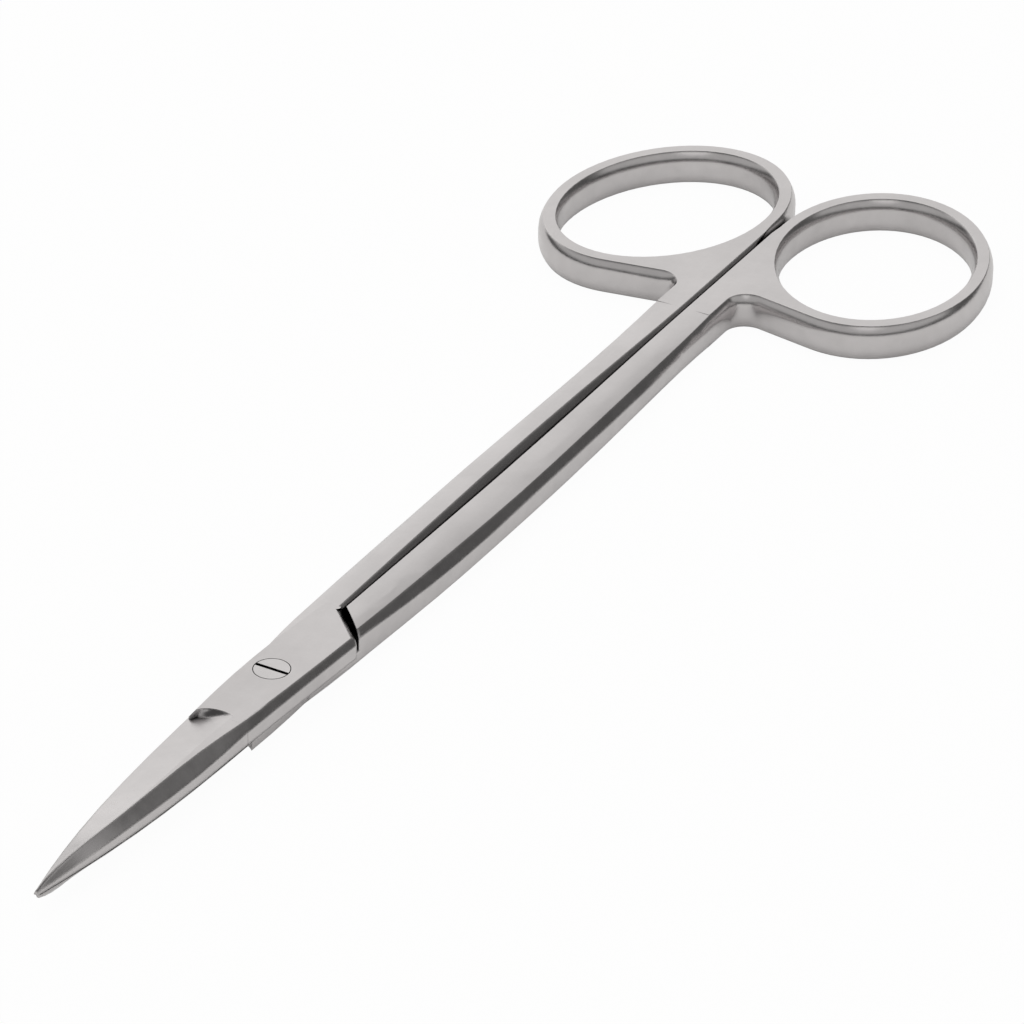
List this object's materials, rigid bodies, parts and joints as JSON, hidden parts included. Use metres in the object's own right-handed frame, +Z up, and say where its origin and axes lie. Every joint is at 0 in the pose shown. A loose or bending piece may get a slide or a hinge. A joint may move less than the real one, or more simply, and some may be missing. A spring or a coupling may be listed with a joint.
{
  "type": "dissecting scissors",
  "caption": "Slender straight scissors with long shanks, short tapered blades, a flush slotted pivot screw and oval finger rings.",
  "frame": {"origin": "on the pivot axis, in the plane of the underside that the closed scissors rest on", "axes": "+Y from the pivot to the finger rings, tips towards -Y, +X towards the lower half's ring, +Z up along the pivot axis"},
  "size_m": [0.0516, 0.1608, 0.0044],
  "materials": {
    "upper_half": "satin",
    "lower_half": "satin",
    "pivot_screw": "satin"
  },
  "bodies": {
    "lower": {"lower_half": "lower_half", "pivot_screw": "pivot_screw"},
    "upper": {"upper_half": "upper_half"}
  },
  "joints": [
    {"name": "blade_pivot", "type": "hinge", "parent": "lower", "child": "upper", "pos_m": [0, 0, 0.0022], "axis": [0, 0, 1], "range_deg": [0, 60]}
  ]
}
